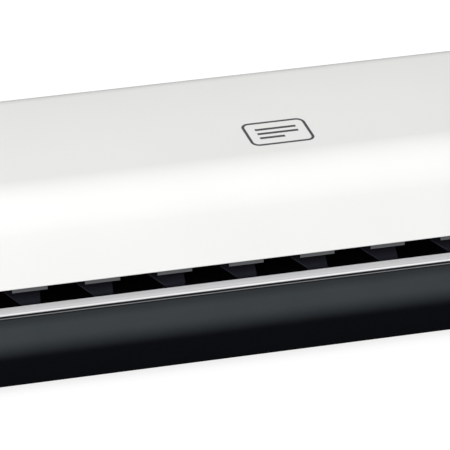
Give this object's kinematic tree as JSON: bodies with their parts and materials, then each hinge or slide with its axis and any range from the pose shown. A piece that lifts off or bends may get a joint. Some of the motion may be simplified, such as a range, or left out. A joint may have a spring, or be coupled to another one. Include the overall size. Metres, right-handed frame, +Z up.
{
  "type": "pouch laminator",
  "caption": "Desktop pouch laminator with a white wedge-shaped cover, charcoal base, silver entry lip, geared heated rollers and a pressure release.",
  "frame": {"origin": "on the table, below the middle of the case", "axes": "+X along the machine to the operator's right, +Y to the rear where the pouch leaves, +Z up"},
  "size_m": [0.5, 0.1504, 0.0875],
  "materials": {
    "cover_white": "smooth semi-gloss moulded white",
    "charcoal": "fine-grained charcoal moulding",
    "entry_lip": "brushed silver",
    "guide_black": "glossy black moulding",
    "plate_steel": "zinc-plated sheet",
    "rod_steel": "ground steel",
    "screw_steel": "zinc-plated",
    "foot_rubber": "soft black rubber",
    "silicone": "red-brown silicone",
    "bush_plastic": "natural bearing plastic",
    "spring_steel": "spring wire",
    "shoe_aluminium": "extruded",
    "element_film": "heating film",
    "shield_aluminium": "thin sheet",
    "gear_acetal": "natural acetal",
    "pinion_brass": "cut brass",
    "motor_can": "plated can",
    "lever_grey": "satin grey",
    "panel_black": "gloss black",
    "lens_green": "translucent lens",
    "button_grey": "satin grey",
    "board_green": "circuit board",
    "switch_black": "black moulding",
    "pin_brass": "plated contacts",
    "lead_insulation": "insulated wire"
  },
  "bodies": {
    "chassis": {"top_cover": "cover_white", "base_tray": "charcoal", "left_end_cap": "charcoal", "right_end_cap": "charcoal", "entry_strip": "entry_lip", "lower_entry_guide": "guide_black", "upper_entry_guide": "guide_black", "lower_exit_guide": "guide_black", "upper_exit_guide": "guide_black", "left_side_plate": "plate_steel", "right_side_plate": "plate_steel", "tie_rods": "rod_steel", "chassis_screws": "screw_steel", "case_screws": "screw_steel", "rubber_feet": "foot_rubber", "lower_roller_bushes": "bush_plastic", "pressure_springs": "spring_steel", "lower_heater_shoe": "shoe_aluminium", "lower_heater_element": "element_film", "heat_shield": "shield_aluminium", "gear_posts": "rod_steel", "motor_plate": "plate_steel", "drive_motor": "motor_can", "control_panel": "panel_black", "indicator_lens": "lens_green", "control_board": "board_green", "power_board": "board_green", "power_inlet": "switch_black", "inlet_pins": "pin_brass", "rocker_switch_body": "switch_black", "wiring_loom": "lead_insulation"},
    "lower_pull_roller": {"lower_pull_roller_shaft": "rod_steel", "lower_pull_roller_sleeve": "silicone", "lower_pull_gear": "gear_acetal"},
    "lower_hot_roller": {"lower_hot_roller_shaft": "rod_steel", "lower_hot_roller_sleeve": "silicone", "lower_hot_gear": "gear_acetal"},
    "upper_hot_roller": {"upper_hot_roller_shaft": "rod_steel", "upper_hot_roller_sleeve": "silicone", "upper_hot_gear": "gear_acetal"},
    "upper_pull_roller": {"upper_pull_roller_shaft": "rod_steel", "upper_pull_roller_sleeve": "silicone", "upper_pull_gear": "gear_acetal"},
    "upper_carriage": {"left_yoke": "plate_steel", "right_yoke": "plate_steel", "upper_roller_bushes": "bush_plastic", "upper_heater_shoe": "shoe_aluminium", "upper_heater_element": "element_film", "thermal_cutouts": "motor_can"},
    "idler": {"idler_gear": "gear_acetal"},
    "reduction": {"reduction_gear": "gear_acetal"},
    "motor_rotor": {"motor_pinion": "pinion_brass", "motor_shaft": "rod_steel"},
    "release": {"release_shaft": "rod_steel", "release_lever": "lever_grey"},
    "rocker": {"power_rocker": "switch_black"},
    "standby": {"standby_button": "button_grey"},
    "hotter": {"hotter_button": "button_grey"},
    "cooler": {"cooler_button": "button_grey"},
    "reverse": {"reverse_button": "button_grey"}
  },
  "joints": [
    {"name": "lower_pull_roller_spin", "type": "hinge", "parent": "chassis", "child": "lower_pull_roller", "pos_m": [0, 0.022, 0.02685], "axis": [1, 0, 0], "continuous": true},
    {"name": "lower_hot_roller_spin", "type": "hinge", "parent": "chassis", "child": "lower_hot_roller", "pos_m": [0, -0.014, 0.02685], "axis": [1, 0, 0], "continuous": true},
    {"name": "carriage_lift", "type": "slide", "parent": "chassis", "child": "upper_carriage", "axis": [0, 0, 1], "range_m": [0, 0.00198], "deforming": ["pressure_springs"]},
    {"name": "upper_hot_roller_spin", "type": "hinge", "parent": "upper_carriage", "child": "upper_hot_roller", "pos_m": [0, -0.014, 0.04915], "axis": [1, 0, 0], "continuous": true},
    {"name": "upper_pull_roller_spin", "type": "hinge", "parent": "upper_carriage", "child": "upper_pull_roller", "pos_m": [0, 0.022, 0.04915], "axis": [1, 0, 0], "continuous": true},
    {"name": "idler_spin", "type": "hinge", "parent": "chassis", "child": "idler", "pos_m": [0, 0.004, 0.02077], "axis": [1, 0, 0], "continuous": true},
    {"name": "reduction_spin", "type": "hinge", "parent": "chassis", "child": "reduction", "pos_m": [0, 0.0374, 0.0341], "axis": [1, 0, 0], "continuous": true},
    {"name": "motor_spin", "type": "hinge", "parent": "chassis", "child": "motor_rotor", "pos_m": [0, 0.0157, 0.0466], "axis": [1, 0, 0], "continuous": true},
    {"name": "release_turn", "type": "hinge", "parent": "chassis", "child": "release", "pos_m": [0.2, 0.004, 0.054], "axis": [1, 0, 0], "range_deg": [0, 60]},
    {"name": "rocker_tip", "type": "hinge", "parent": "chassis", "child": "rocker", "pos_m": [0.2257, 0.069, 0.018], "axis": [1, 0, 0], "range_deg": [0, 12]},
    {"name": "standby_press", "type": "slide", "parent": "chassis", "child": "standby", "axis": [0, 0.1397, -0.9902], "range_m": [0, 0.0008], "stiffness_N_per_m": 250, "springref_m": -0.001},
    {"name": "hotter_press", "type": "slide", "parent": "chassis", "child": "hotter", "axis": [0, 0.1397, -0.9902], "range_m": [0, 0.0008], "stiffness_N_per_m": 250, "springref_m": -0.001},
    {"name": "cooler_press", "type": "slide", "parent": "chassis", "child": "cooler", "axis": [0, 0.1397, -0.9902], "range_m": [0, 0.0008], "stiffness_N_per_m": 250, "springref_m": -0.001},
    {"name": "reverse_press", "type": "slide", "parent": "chassis", "child": "reverse", "axis": [0, 0.1397, -0.9902], "range_m": [0, 0.0008], "stiffness_N_per_m": 250, "springref_m": -0.001}
  ],
  "couplings": [
    {"joint": "lower_hot_roller_spin", "follows": "lower_pull_roller_spin", "ratio": 1},
    {"joint": "upper_hot_roller_spin", "follows": "lower_pull_roller_spin", "ratio": -1},
    {"joint": "upper_pull_roller_spin", "follows": "lower_pull_roller_spin", "ratio": -1},
    {"joint": "idler_spin", "follows": "lower_pull_roller_spin", "ratio": -1.375},
    {"joint": "reduction_spin", "follows": "lower_pull_roller_spin", "ratio": -1.8333},
    {"joint": "motor_spin", "follows": "lower_pull_roller_spin", "ratio": 7.3333},
    {"joint": "release_turn", "follows": "carriage_lift", "rad_per_m": 526.32}
  ]
}
